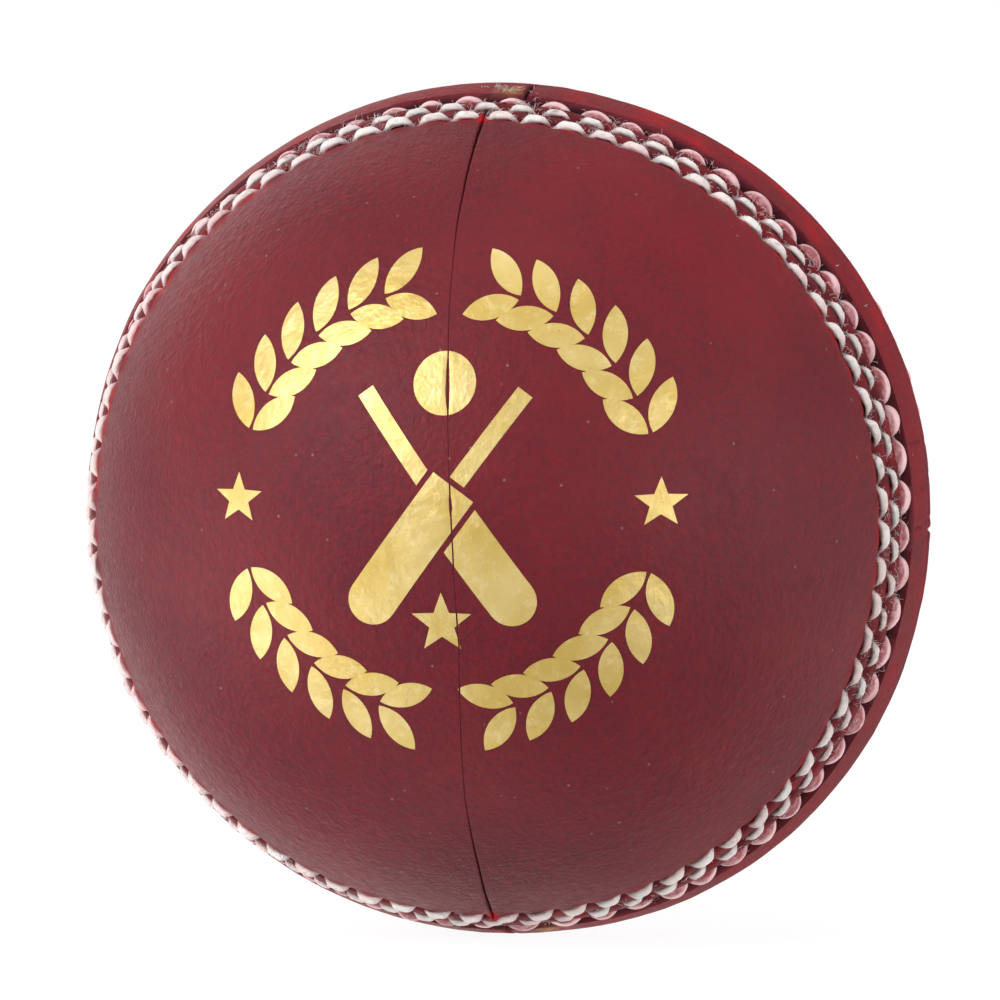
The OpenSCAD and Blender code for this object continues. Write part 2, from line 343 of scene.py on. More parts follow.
def zip_strip(a, ta, b, tb):
    """Faces between two rows of vertices with rising parameters ta and tb."""
    if len(a) == len(b):
        return [(a[k], a[k + 1], b[k + 1], b[k]) for k in range(len(a) - 1)]
    faces, i, j = [], 0, 0
    while i < len(a) - 1 or j < len(b) - 1:
        step_a = j == len(b) - 1 or (i < len(a) - 1 and ta[i + 1] <= tb[j + 1] + 1e-9)
        if step_a:
            faces.append((a[i], a[i + 1], b[j]))
            i += 1
        else:
            faces.append((a[i], b[j + 1], b[j]))
            j += 1
    return faces


def flip_if_inside_out(verts, faces):
    total = 0.0
    for f in faces:
        a = verts[f[0]]
        for k in range(1, len(f) - 1):
            total += float(np.dot(a, np.cross(verts[f[k]], verts[f[k + 1]])))
    return faces if total > 0 else [tuple(reversed(f)) for f in faces]


# ---- leather quarters ----

EDGE = np.array([0, 0.04, 0.09, 0.15, 0.22, 0.31, 0.43, 0.6, 0.85]) / CROWN_R


def quarter_rows():
    """Each row's latitude and how many columns lie between its fine edge columns."""
    rows = [(lat * DEG, 416) for lat in (0, 0.06, 0.12, 0.2, 0.32)]
    rows += [(lat * DEG, 416) for lat in np.arange(0.6, 24.01, 0.3)]
    rows += [(lat * DEG, 208) for lat in np.arange(24.5, 60, 0.65)]
    rows += [(lat * DEG, 104) for lat in np.arange(60.5, 76, 0.8)]
    rows += [(lat * DEG, 52) for lat in np.arange(76.5, 84, 1.0)]
    rows += [(lat * DEG, 26) for lat in (85.0, 86.2, 87.4)]
    rows += [(lat * DEG, 13) for lat in (88.3, 89.2)]
    return rows


def turns(start, middle):
    inside = np.linspace(EDGE[-1], math.pi - EDGE[-1], middle + 1)
    return start * DEG + np.concatenate([EDGE[:-1], inside, math.pi - EDGE[-2::-1]])


def build_quarter(name, front, start):
    lats, verts_d, rows, row_turns, count = [], [], [], [], 0
    for lat, middle in quarter_rows():
        t = turns(start, middle)
        verts_d.append(to_dir(np.full(len(t), lat), t, front))
        rows.append(np.arange(count, count + len(t)))
        row_turns.append(t)
        count += len(t)
    pole = count
    verts_d.append(to_dir(np.array([math.pi / 2]), np.array([0.0]), front))
    count += 1
    outer_d = warp(np.concatenate(verts_d), front)
    r, stains_and_shade = skin(outer_d, front)
    outer = outer_d * r[:, None]
    faces = []
    for k in range(len(rows) - 1):
        faces += zip_strip(rows[k], row_turns[k], rows[k + 1], row_turns[k + 1])
    faces += [(rows[-1][k], rows[-1][k + 1], pole) for k in range(len(rows[-1]) - 1)]

    # The underside has the same rows with fewer columns, and the same two ends
    in_d, in_rows, in_turns = [], [], []
    middle = 416
    for k, (lat, _) in enumerate(quarter_rows()):
        t = row_turns[0] if k == 0 else start * DEG + np.linspace(0, math.pi, middle + 1)
        middle = max(middle // 2, 13)
        in_d.append(to_dir(np.full(len(t), lat), t, front))
        in_rows.append(np.arange(count, count + len(t)))
        in_turns.append(t)
        count += len(t)
    in_pole = count
    in_d.append(to_dir(np.array([math.pi / 2]), np.array([0.0]), front))
    inner_d = warp(np.concatenate(in_d), front)
    inner = inner_d * INNER_R
    under = []
    for k in range(len(in_rows) - 1):
        under += zip_strip(in_rows[k], in_turns[k], in_rows[k + 1], in_turns[k + 1])
    under += [(in_rows[-1][k], in_rows[-1][k + 1], in_pole) for k in range(len(in_rows[-1]) - 1)]
    faces += [tuple(reversed(f)) for f in under]
    # Walls at the parting plane and along the two ends of the joint
    a, b = in_rows[0], rows[0]
    faces += [(a[k], a[k + 1], b[k + 1], b[k]) for k in range(len(a) - 1)]
    for end in (0, -1):
        edge = [row[end] for row in rows] + [pole]
        low = [row[end] for row in in_rows] + [in_pole]
        wall = [(edge[k], edge[k + 1], low[k + 1], low[k]) for k in range(len(edge) - 1)]
        faces += wall if end == 0 else [tuple(reversed(f)) for f in wall]
    verts = np.concatenate([outer, inner])
    faces = flip_if_inside_out(verts, faces)
    ob = finish_mesh(name, verts, faces, sharp=1.1)
    dull = np.tile([0.2, 0.2, 0.3, 0.0], (len(inner), 1))
    add_colour(ob, "stains_and_shade", np.concatenate([stains_and_shade, dull]))
    return ob


# ---- thread ----

def sweep(path, side, up, half_w, half_t, around, plies, twist, ply_depth):
    """A closed tube along path; side and up are its cross-section's axes at each point."""
    n = len(path)
    ang = np.linspace(0, 2 * math.pi, around, endpoint=False)
    length = np.concatenate([[0], np.cumsum(np.linalg.norm(np.diff(path, axis=0), axis=1))])
    verts, strand = [], []
    for k in range(n):
        lay = 1 - ply_depth * (0.5 + 0.5 * np.cos(plies * (ang - twist * length[k])))
        ring = path[k] + (np.cos(ang) * half_w[k] * lay)[:, None] * side[k]
        ring = ring + (np.sin(ang) * half_t[k] * lay)[:, None] * up[k]
        verts.append(ring)
        strand.append(np.stack([np.full(around, length[k]), (ang - twist * length[k]), 0 * ang], -1))
    verts = np.concatenate(verts)
    strand = np.concatenate(strand)
    faces = []
    for k in range(n - 1):
        for j in range(around):
            j2 = (j + 1) % around
            faces.append((k * around + j, k * around + j2, (k + 1) * around + j2, (k + 1) * around + j))
    faces.append(tuple(range(around - 1, -1, -1)))
    faces.append(tuple((n - 1) * around + j for j in range(around)))
    return verts, faces, strand


class Pile:
    """Collects many small closed shapes into one mesh."""

    def __init__(self):
        self.verts, self.faces, self.strand, self.stain, self.count = [], [], [], [], 0

    def add(self, verts, faces, strand, stain):
        self.verts.append(verts)
        self.faces += [tuple(i + self.count for i in f) for f in faces]
        self.strand.append(strand)
        self.stain.append(stain)
        self.count += len(verts)

    def make(self, name):
        ob = finish_mesh(name, np.concatenate(self.verts), self.faces)
        add_vector(ob, "strand", np.concatenate(self.strand))
        add_colour(ob, "stains_and_shade", np.concatenate(self.stain))
        return ob


def local_axes(lat, turn, front):
    """Outward normal, direction of rising turn, and direction towards the pole, at one place."""
    y = -1.0 if front else 1.0
    n = np.array([math.cos(lat) * math.cos(turn), y * math.sin(lat), math.cos(lat) * math.sin(turn)])
    t = np.array([-math.sin(turn), 0.0, math.cos(turn)])
    b = np.array([-math.sin(lat) * math.cos(turn), y * math.cos(lat), -math.sin(lat) * math.sin(turn)])
    return n, t, b


def frame_along(path, across, n):
    """The cross-section's side and up axes at each point of a path."""
    tangent = np.gradient(path, axis=0)
    tangent /= np.linalg.norm(tangent, axis=1)[:, None]
    up = np.cross(tangent, across)
    up /= np.linalg.norm(up, axis=1)[:, None]
    up *= np.sign((up @ n))[len(path) // 2]
    return np.cross(up, tangent), up


def slanted(n_t_b, slant):
    """A stitch's own direction and the one across it, turned by slant from the row's."""
    n, t, b = n_t_b
    return math.cos(slant) * t + math.sin(slant) * b, math.cos(slant) * b - math.sin(slant) * t


def machine_row(name, front, row_lat, shift, outer, rng):
    pile = Pile()
    for k in range(MACHINE_STITCHES):
        machine_stitch(pile, front, row_lat, shift, outer, k, rng)
    add_fuzz(pile, front, row_lat, rng, MACHINE_FUZZ)
    if front and outer:
        add_ridge_fibres(pile, rng)
    return pile.make(name)


def machine_stitch(pile, front, row_lat, shift, outer, k, rng):
    """One crescent of thread; u runs from its clockwise end, drawn down to a point, to the blunt one."""
    pitch = 360 / MACHINE_STITCHES
    step = 2 * CROWN_R * math.cos(row_lat * DEG) * math.sin(math.pi / MACHINE_STITCHES)
    turn = (k + 0.5 + shift) * pitch + rng.normal(0, 0.10)
    lat = row_lat + rng.normal(0, 0.07)
    n, t, b = local_axes(lat * DEG, turn * DEG, front)
    half = step / 2 * (0.97 if outer else 0.86) * (1 + rng.normal(0, 0.04))
    slant = (13 - 8 * math.sin(turn * DEG) + rng.normal(0, 3)) * DEG
    along, across = slanted((n, t, b), slant)
    phi = np.linspace(0.02, math.pi - 0.02, 26)
    x = -half * np.cos(phi)
    u = 0.5 + 0.5 * x / half
    rise = (0.84 if outer else 0.74) * (1 + rng.normal(0, 0.07))
    arch = smooth(u, -0.1, 0.42) * (1 - 0.75 * smooth(u, 0.72, 1.06))
    height = -0.74 + rise * arch
    bow = -0.30 * np.sin(phi) + 0.12 + rng.normal(0, 0.07) * np.cos(phi)
    path = n * (CROWN_R + height)[:, None] + x[:, None] * along + bow[:, None] * across
    full = smooth(u, -0.12, 0.50) * (1 - 0.40 * smooth(u, 0.70, 1.0))
    half_w = (0.05 + 0.43 * full) * (1 if outer else 0.80) * (1 + rng.normal(0, 0.08))
    half_t = (0.05 + 0.33 * full) * (1 if outer else 0.86) * (1 + rng.normal(0, 0.06))
    side, up = frame_along(path, across, n)
    v, f, strand = sweep(path, side, up, half_w, half_t, 18, 4, 0.5, 0.10)
    rough = fractal(strand * [1.2, 1.6, 0] + [9.0 * k, 0, 0], 1.6, 3, 31)
    v = v + 0.05 * rough[:, None] * (v - path[np.arange(len(v)) // 18]) / 0.4
    strand[:, 2] = k
    off = (v @ n) - CROWN_R
    pinkish = max(0.0, rng.normal(0.10, 0.16)) + (0.25 if rng.random() < 0.12 else 0)
    pinkish += 0.38 * smooth(-math.cos(turn * DEG), 0.3, 0.9)
    # low marks the stitch's foot where it dips into its hole; the material darkens it, which is painted shade,
    # and the stain reddens it.
    low = 1 - smooth(off, -0.38, 0.12)
    stain = np.clip(0.6 * low + pinkish + 0.25 * fractal(v, 1.1, 3, 33), 0, 1)
    pile.add(v, f, strand, np.stack([stain, low, 0 * low, 1 + 0 * low], -1))
    reach = 1 - 0.6 * smooth(max(-math.cos(turn * DEG), -math.sin(turn * DEG)), 0.3, 0.9)
    add_frays(pile, path, half_w, half_t, side, up, reach, rng)


def add_ridge_fibres(pile, rng):
    """Loose ends lying across the front ridge, and the frayed fibres of its upper scuff."""
    pieces = 7
    for turn, lat, length in RIDGE_FIBRES:
        n, t, b = local_axes(lat * DEG, turn * DEG, True)
        for k in range(pieces):
            start = n * (CROWN_R + 0.36) - b * length * k / pieces + t * rng.normal(0, 0.03)
            add_fibre(pile, start, -b + t * rng.normal(0, 0.3), n, 0 * t, 0.16 * length, 0.035, 0, 0.0)
    for k in range(SCUFF_FIBRES):
        n, t, b = local_axes(rng.uniform(3.2, 8.2) * DEG, (88.7 + rng.normal(0, 1.5)) * DEG, True)
        direction = rng.normal(0, 1) * t + rng.normal(0, 1) * b + abs(rng.normal(0, 0.3)) * n
        direction /= np.linalg.norm(direction)
        add_fibre(pile, n * (CROWN_R + 0.26), direction, n, 0 * t, rng.uniform(0.2, 0.6),
                  rng.uniform(0.02, 0.04), 0.2, rng.choice([0.0, 0.9]))


def add_fibre(pile, start, direction, n, aside, length, thick, lift, stain):
    """A short hair, bent aside and lifted along n; stain is how red it is."""
    s = np.linspace(0, 1, 4)
    path = start + np.outer(s * length, direction) + np.outer(s * s * length, aside)
    path = path + np.outer(lift * length * np.sin(s * math.pi * 0.8), n)
    half = thick * (1 - 0.6 * s)
    across = np.cross(direction, n)
    across /= np.linalg.norm(across)
    side = np.tile(across, (4, 1))
    up = np.cross(side, np.gradient(path, axis=0))
    up /= np.linalg.norm(up, axis=1)[:, None]
    v, f, strand = sweep(path, side, up, half, half, 3, 0, 0, 0)
    one = np.ones(len(v))
    pile.add(v, f, strand, np.stack([stain * one, 0 * one, one, one], -1))


def add_frays(pile, path, half_w, half_t, side, up, reach, rng):
    """Short broken fibres over a stitch, most of them at its blunt end."""
    for k in range(22):
        at = int(rng.uniform(4, 25)) if k < 14 else int(rng.uniform(19, 25))
        a = rng.uniform(-0.15, math.pi + 0.15)
        out = math.cos(a) * side[at] + math.sin(a) * up[at]
        foot = path[at] + 0.85 * (math.cos(a) * half_w[at] * side[at] + math.sin(a) * half_t[at] * up[at])
        ahead = path[min(at + 1, 25)] - path[at - 1]
        ahead /= np.linalg.norm(ahead)
        direction = ahead * rng.choice([-1, 1]) * rng.uniform(0.4, 1.0) + out * rng.uniform(0.25, 1.0)
        direction += side[at] * rng.normal(0, 0.3)
        direction /= np.linalg.norm(direction)
        add_fibre(pile, foot, direction, up[at], side[at] * rng.normal(0, 0.4), reach * rng.uniform(0.12, 0.42),
                  rng.uniform(0.022, 0.042), 0.1, 0.0)


def add_fuzz(pile, front, row_lat, rng, count):
    """Fine loose fibres that stand out of a row's thread, mostly in clumps."""
    centre, stand, bare = 0.0, 0.1, False
    for k in range(count):
        if k % 5 == 0:
            centre = rng.uniform(0, 360)
            away = max(-math.cos(centre * DEG), -math.sin(centre * DEG))
            if front:
                stand = 0.5 - 0.42 * float(smooth(away, 0.3, 0.85))
            bare = rng.random() < 0.75 * smooth(away, 0.4, 0.85)
        if bare:
            continue
        turn = (centre + rng.normal(0, 0.9)) * DEG
        lat = (row_lat + rng.normal(-0.9 if row_lat > 12 else 1.1, 0.85)) * DEG
        n, t, b = local_axes(lat, turn, front)
        direction = rng.normal(0, 1) * t + rng.normal(0, 1) * b + abs(rng.normal(0, stand)) * n
        direction /= np.linalg.norm(direction)
        aside = np.cross(direction, n) * rng.normal(0, 0.6)
        start = n * (CROWN_R + rng.uniform(-0.2, 0.15))
        add_fibre(pile, start, direction, n, aside, rng.uniform(0.15, 0.7) * (0.6 + 0.8 * stand),
                  rng.uniform(0.022, 0.042), 0.7 * stand, max(0.0, rng.normal(0.0, 0.1)))


def primary_thread(name, rng):
    pile = Pile()
    for front in (True, False):
        steps = rng.normal(1, 0.10, PRIMARY_STITCHES)
        edges = np.concatenate([[0], np.cumsum(steps)]) / steps.sum() * 360
        for k in range(PRIMARY_STITCHES):
            primary_stitch(pile, front, edges[k], edges[k + 1], k, rng)
        add_pull_thread(pile, front)
        add_fuzz(pile, front, INNER_LAT + 1.2, rng, PRIMARY_FUZZ)
    return pile.make(name)


def primary_stitch(pile, front, start, end, k, rng):
    """One bead between two turns, fullest at the right of the picture and slimmer at the top."""
    turn = (start + end) / 2
    lat = INNER_LAT + 0.65 + rng.normal(0, 0.14)
    n, t, b = local_axes(lat * DEG, turn * DEG, front)
    fuller = math.cos((turn - 5) * DEG) if front else 0.2
    slim = math.exp(-((turn - 88) / 34) ** 2) if front else 0.0
    half = (end - start) / 2 * DEG * CROWN_R * math.cos(lat * DEG) * 0.84
    half *= 1 - 0.12 * slim
    along, across = slanted((n, t, b), (12 + rng.normal(0, 4)) * DEG)
    phi = np.linspace(0, math.pi, 26)
    x = np.cos(phi) * -half
    top = -0.50 + 0.09 * fuller - 0.10 * slim + rng.normal(0, 0.06)
    height = top - 1.3 + 1.3 * np.sin(phi)
    path = n * (CROWN_R + height)[:, None] + x[:, None] * along
    path = path + (0.12 * np.sin(phi) * rng.normal(1, 0.6))[:, None] * across
    full = np.sin(phi) ** 0.8
    half_w = (0.22 + (0.84 + 0.14 * fuller - 0.16 * slim) * full) * (1 + rng.normal(0, 0.06))
    half_t = (0.22 + (0.52 + 0.08 * fuller) * full) * (1 + rng.normal(0, 0.05))
    side, up = frame_along(path, across, n)
    v, f, strand = sweep(path, side, up, half_w, half_t, 24, 5, 0.55, 0.09)
    v = v + 0.035 * fractal(v, 1.5, 3, 41)[:, None] * n
    strand[:, 2] = 100 + k
    off = (v @ n) - CROWN_R
    # pole_side paints each bead dark red on its pole side and leaves its ridge side pale pink: painted shade
    # and a painted highlight over the streaky dye. low paints the bead's foot in the channel dark, painted
    # shade.
    pole_side = (v - n * CROWN_R) @ b
    low = 1 - smooth(off, -0.85, -0.1)
    streak = fractal(strand * [0.5, 1.5, 0.01] + [3.0 * k, 0, 0], 1.0, 3, 44)
    stain = 0.06 + 0.9 * smooth(pole_side + 0.45 * streak, 0.18, 0.72) + 0.7 * low + 0.6 * streak
    pile.add(v, f, strand, np.stack([np.clip(stain, 0, 1), low, 0 * low, 1 + 0 * low], -1))


def add_pull_thread(pile, front):
    """The run that the primary stitches pull on, a ring under them."""
    around, thick = 10, 0.45
    ang = np.linspace(0, 2 * math.pi, 181)[:-1]
    ring_r = (CROWN_R - 1.75) * math.cos(INNER_LAT * DEG)
    ring_y = (CROWN_R - 1.75) * math.sin(INNER_LAT * DEG) * (-1 if front else 1)
    v, f, strand = [], [], []
    for i, a in enumerate(ang):
        for j in range(around):
            q = 2 * math.pi * j / around
            rr = ring_r + thick * math.cos(q)
            v.append((rr * math.cos(a), ring_y + thick * math.sin(q), rr * math.sin(a)))
            strand.append((a * ring_r, q, 0))
            i2, j2 = (i + 1) % len(ang), (j + 1) % around
            f.append((i * around + j, i * around + j2, i2 * around + j2, i2 * around + j))
    v = np.array(v)
    f = flip_if_inside_out(v, f)
    # The whole ring takes the thread's near-black deep colour: painted shade under the beads.
    pile.add(v, f, np.array(strand), np.tile([0.7, 1, 0, 1], (len(v), 1)))


# ---- foil stamp ----

def leaf_outline(length, width, n=14):
    r = (length ** 2 / 4 + width ** 2 / 4) / width
    half = math.asin(length / 2 / r)
    a = np.linspace(-half, half, n)
    top = np.stack([length / 2 + r * np.sin(a), r * np.cos(a) - (r - width / 2)], -1)
    low = top[::-1][1:-1] * [1, -1]
    return np.concatenate([top, low])


def rotated(pts, degrees):
    a = degrees * DEG
    return pts @ np.array([[math.cos(a), math.sin(a)], [-math.sin(a), math.cos(a)]])


def star_outline(r):
    out = []
    for k in range(10):
        q = r if k % 2 == 0 else 0.42 * r
        out.append((q * math.sin(36 * k * DEG), q * math.cos(36 * k * DEG)))
    return np.array(out)


def bat_outlines():
    blade_w, low, blade_l, handle_l, handle_w = 4.2, -10.0, 11.8, 9.2, 1.5
    a = np.linspace(math.pi, 2 * math.pi, 17)
    toe = np.stack([blade_w / 2 * np.cos(a), low + blade_w / 2 * np.sin(a)], -1)
    blade = np.concatenate([toe, [(blade_w / 2, low + blade_l), (-blade_w / 2, low + blade_l)]])
    h0 = low + blade_l + 0.5
    x = handle_w / 2
    handle = np.array([(-x, h0), (x, h0), (x, h0 + handle_l), (-x, h0 + handle_l)])
    return [blade, handle]


def clip(pts, normal, offset):
    """The part of a polygon on one side of a line, where pts . normal >= offset."""
    out = []
    for k in range(len(pts)):
        a, b = pts[k], pts[(k + 1) % len(pts)]
        da, db = a @ normal - offset, b @ normal - offset
        if da >= 0:
            out.append(a)
        if (da >= 0) != (db >= 0):
            out.append(a + (b - a) * (da / (da - db)))
    return np.array(out) if len(out) > 2 else None


def emblem():
    shapes = []
    for fx in (1, -1):
        for fy in (1, -1):
            for k in range(6):
                for side in (-1, 1):
                    leaf = leaf_outline(4.7, 2.0) + [0.35, 0]
                    leaf = rotated(leaf, 90 + side * 34) + [WREATH_R, 0]
                    leaf = rotated(leaf, 18 + k * 10.5) * [fx, fy]
                    shapes.append(leaf)
    for side in (-1, 1):
        shapes.append(star_outline(STAR_R) + [side * WREATH_R, 0])
    for part in bat_outlines():
        shapes.append(rotated(part, -36))
        turned = rotated(part, 36)
        across = np.array([math.cos(-36 * DEG), math.sin(-36 * DEG)])
        for sign in (1, -1):
            piece = clip(turned, sign * across, 2.6)
            if piece is not None:
                shapes.append(piece)
    ring = np.linspace(0, 2 * math.pi, 49)[:-1]
    shapes.append(BIG_STAR_R * np.stack([np.cos(ring), np.sin(ring)], -1) + [0, 10])
    shapes.append(star_outline(BIG_STAR_R) - [0, 10])
    return [s + [0, STAMP_UP] for s in shapes]


def densify(pts, step):
    out = []
    for k in range(len(pts)):
        a, b = pts[k], pts[(k + 1) % len(pts)]
        n = max(1, int(math.ceil(np.linalg.norm(b - a) / step)))
        out += [a + (b - a) * i / n for i in range(n)]
    return np.array(out)


def straight(pts, back=False):
    """Moves flat points so that the joint lies on x = 0, or back again."""
    d = np.stack([pts[:, 0], 0 * pts[:, 0], pts[:, 1]], -1) / CROWN_R
    d[:, 1] = -np.sqrt(np.clip(1 - d[:, 0] ** 2 - d[:, 2] ** 2, 0.01, 1))
    return pts + (1 if back else -1) * np.stack([joint_shift(d, True), 0 * pts[:, 0]], -1)


def halves(shape):
    """A flat shape's parts on the two sides of the joint."""
    flat = straight(densify(shape, 0.3))
    for sign in (1, -1):
        part = clip(flat, np.array([sign, 0.0]), 0.07)
        if part is None or (abs(part).max(0) < 1e-6).any():
            continue
        part = straight(part, back=True)
        part = part[np.linalg.norm(part - np.roll(part, 1, 0), axis=1) > 0.02]
        if len(part) >= 3:
            yield part


def flat_mesh(part, spacing=0.33):
    """Triangles that fill an outline, with points inside it to follow the leather."""
    lo, hi = part.min(0), part.max(0)
    gx, gz = np.meshgrid(np.arange(lo[0], hi[0], spacing), np.arange(lo[1], hi[1], spacing))
    inside = np.stack([gx.ravel(), gz.ravel()], -1)
    pts = [Vector(p) for p in part] + [Vector(p) for p in inside]
    v2, _, f2, _, _, _ = delaunay_2d_cdt(pts, [], [list(range(len(part)))], 1, 1e-5)
    used = sorted({i for f in f2 for i in f})
    index = {v: i for i, v in enumerate(used)}
    return np.array([tuple(v) for v in v2])[used], [tuple(index[i] for i in f) for f in f2]


def foil_pieces(name):
    verts, faces, count = [], [], 0
    for part in [part for shape in emblem() for part in halves(shape)]:
        v2, f2 = flat_mesh(part)
        if not len(f2):
            continue
        d = np.stack([v2[:, 0], 0 * v2[:, 0], v2[:, 1]], -1) / CROWN_R
        d[:, 1] = -np.sqrt(1 - d[:, 0] ** 2 - d[:, 2] ** 2)
        r, _ = skin(d, True)
        n = len(v2)
        both = np.concatenate([d * (r + 0.035)[:, None], d * (r - 0.03)[:, None]])
        edges = {(a, b): True for f in f2 for a, b in zip(f, f[1:] + f[:1])}
        walls = [(a, b, b + n, a + n) for a, b in edges if (b, a) not in edges]
        body = f2 + [tuple(i + n for i in reversed(f)) for f in f2]
        body += [tuple(reversed(w)) for w in walls]
        body = flip_if_inside_out(both - both.mean(0), body)
        verts.append(both)
        faces += [tuple(i + count for i in f) for f in body]
        count += 2 * n
    return finish_mesh(name, np.concatenate(verts), faces, sharp=0.8)


# ---- materials ----

class Nodes:
    """Short-hand for building one material's node tree."""

    def __init__(self, name):
        self.mat = bpy.data.materials.new(name)
        self.mat.use_nodes = True
        self.tree = self.mat.node_tree
        self.bsdf = self.tree.nodes["Principled BSDF"]
        coord = self.tree.nodes.new("ShaderNodeTexCoord")
        self.mm = self.new("ShaderNodeVectorMath", {"Vector": coord.outputs["Object"]}, operation="SCALE")
        self.mm.inputs["Scale"].default_value = 1000
        self.place = self.mm.outputs["Vector"]

    def new(self, kind, links=None, values=None, **props):
        node = self.tree.nodes.new(kind)
        for key, value in props.items():
            setattr(node, key, value)
        for key, value in (values or {}).items():
            node.inputs[key].default_value = value
        for key, source in (links or {}).items():
            self.tree.links.new(source, node.inputs[key])
        return node

    def noise(self, scale, detail=3.0, rough=0.55, place=None, distort=0.0):
        node = self.new("ShaderNodeTexNoise", {"Vector": place or self.place},
                        {"Scale": scale, "Detail": detail, "Roughness": rough, "Distortion": distort})
        return node.outputs["Fac"]

    def voronoi(self, scale, feature="F1", place=None):
        node = self.new("ShaderNodeTexVoronoi", {"Vector": place or self.place},
                        {"Scale": scale}, feature=feature)
        return node.outputs["Distance"]

    def stretched(self, scale, turn=(0, 0, 0), source=None):
        node = self.new("ShaderNodeMapping", {"Vector": source or self.place},
                        {"Scale": scale, "Rotation": turn})
        return node.outputs["Vector"]

    def span(self, fac, low, high, to_low=0.0, to_high=1.0):
        node = self.new("ShaderNodeMapRange", {"Value": fac},
                        {"From Min": low, "From Max": high, "To Min": to_low, "To Max": to_high})
        return node.outputs["Result"]

    def math(self, op, a, b):
        node = self.new("ShaderNodeMath", operation=op)
        for k, x in enumerate((a, b)):
            if isinstance(x, (int, float)):
                node.inputs[k].default_value = x
            else:
                self.tree.links.new(x, node.inputs[k])
        return node.outputs["Value"]

    def mix(self, fac, a, b):
        node = self.new("ShaderNodeMix", data_type="RGBA")
        for k, x in ((0, fac), (6, a), (7, b)):
            if isinstance(x, (int, float)):
                node.inputs[k].default_value = x
            elif isinstance(x, tuple):
                node.inputs[k].default_value = (*x, 1)
            else:
                self.tree.links.new(x, node.inputs[k])
        return node.outputs[2]

    def attribute(self, name):
        return self.new("ShaderNodeAttribute", attribute_name=name, attribute_type="GEOMETRY")

    def parts(self, colour):
        return self.new("ShaderNodeSeparateColor", {"Color": colour}).outputs

    def bump(self, height, strength, distance, after=None):
        node = self.new("ShaderNodeBump", {"Height": height}, {"Strength": strength, "Distance": distance})
        if after:
            self.tree.links.new(after, node.inputs["Normal"])
        return node.outputs["Normal"]

    def put(self, **sockets):
        for key, value in sockets.items():
            socket = self.bsdf.inputs[key.replace("_", " ")]
            if isinstance(value, tuple):
                socket.default_value = (*value, 1)
            elif isinstance(value, (int, float)):
                socket.default_value = value
            else:
                self.tree.links.new(value, socket)
        return self.mat


def leather_material():
    m = Nodes("waxed_red_leather")
    at = m.attribute("stains_and_shade")
    stain = m.parts(at.outputs["Color"])
    red, dark, scuff, wrinkle = stain[0], stain[1], stain[2], at.outputs["Alpha"]
    broad = m.span(m.noise(0.07, 4), 0.35, 0.65)
    base = m.mix(broad, (0.095, 0.0135, 0.0203), (0.136, 0.0178, 0.0237))
    mottle = m.span(m.noise(2.6, 4, 0.7), 0.42, 0.62)
    base = m.mix(m.math("MULTIPLY", mottle, 0.65), base, (0.200, 0.0127, 0.0203))
    dusk = m.span(m.noise(1.3, 5, 0.75), 0.50, 0.68)
    base = m.mix(m.math("MULTIPLY", dusk, 0.55), base, (0.066, 0.016, 0.025))
    # The red mask is mostly dye; its extra red on the ridge's upper side is painted light, and its extra red
    # beside the left stitches is painted shade.
    dye = m.mix(m.span(red, 0.55, 0.95), (0.285, 0.0095, 0.017), (0.52, 0.007, 0.014))
    base = m.mix(m.math("MULTIPLY", red, 0.85), base, dye)
    fleck = m.span(m.voronoi(0.42), 0.0, 0.07, 1.0, 0.0)
    base = m.mix(m.math("MULTIPLY", fleck, 0.5), base, (0.42, 0.30, 0.28))
    base = m.mix(scuff, base, m.mix(m.noise(5, 4), (0.20, 0.06, 0.03), (0.62, 0.36, 0.20)))
    # dark mixes in painted shade for the channels, holes and creases, and the real dark of the joints.
    base = m.mix(m.math("MULTIPLY", dark, 0.9), base, (0.018, 0.003, 0.006))

    cells = m.voronoi(2.1, "SMOOTH_F1", m.stretched((1.0, 1.0, 0.8)))
    pores = m.noise(4.4, 4, 0.65)
    soft = m.noise(0.9, 3)
    creases = m.noise(1.0, 4, 0.6, m.stretched((0.55, 2.2, 2.4), (0.5, 0.25, 0.7)), 0.8)
    grain = m.math("ADD", m.math("MULTIPLY", cells, 0.6), m.math("MULTIPLY", pores, 0.55))
    grain = m.math("MULTIPLY", grain, m.span(soft, 0.3, 0.75, 0.45, 1.1))
    normal = m.bump(grain, 0.9, 0.00014)
    edges = m.voronoi(2.3, "DISTANCE_TO_EDGE", m.stretched((1.1, 1.0, 0.62), (0.1, 0.3, 0)))
    cracks = m.math("MULTIPLY", m.span(edges, 0.0, 0.16, 1.0, 0.0), wrinkle)
    normal = m.bump(m.math("SUBTRACT", 1.0, cracks), 0.8, 0.00012, normal)
    # Darkening the cracks is painted shade in them; the cracks lie on the left side (-X) and near the joint's
    # ends.
    base = m.mix(m.math("MULTIPLY", cracks, 0.6), base, (0.045, 0.0065, 0.010))
    lined = m.math("MULTIPLY", creases, m.math("ADD", wrinkle, 0.15))
    normal = m.bump(lined, 0.8, 0.0002, normal)
    rough = m.span(m.noise(1.7, 4), 0.3, 0.7, 0.36, 0.50)
    worn = m.math("MAXIMUM", m.math("MAXIMUM", dark, scuff), m.math("MULTIPLY", red, 0.7))
    rough = m.math("ADD", rough, m.math("MULTIPLY", worn, 0.3))
    m.put(Base_Color=base, Roughness=rough, Normal=normal)
    m.bsdf.inputs["Specular IOR Level"].default_value = 0.12
    return m.mat


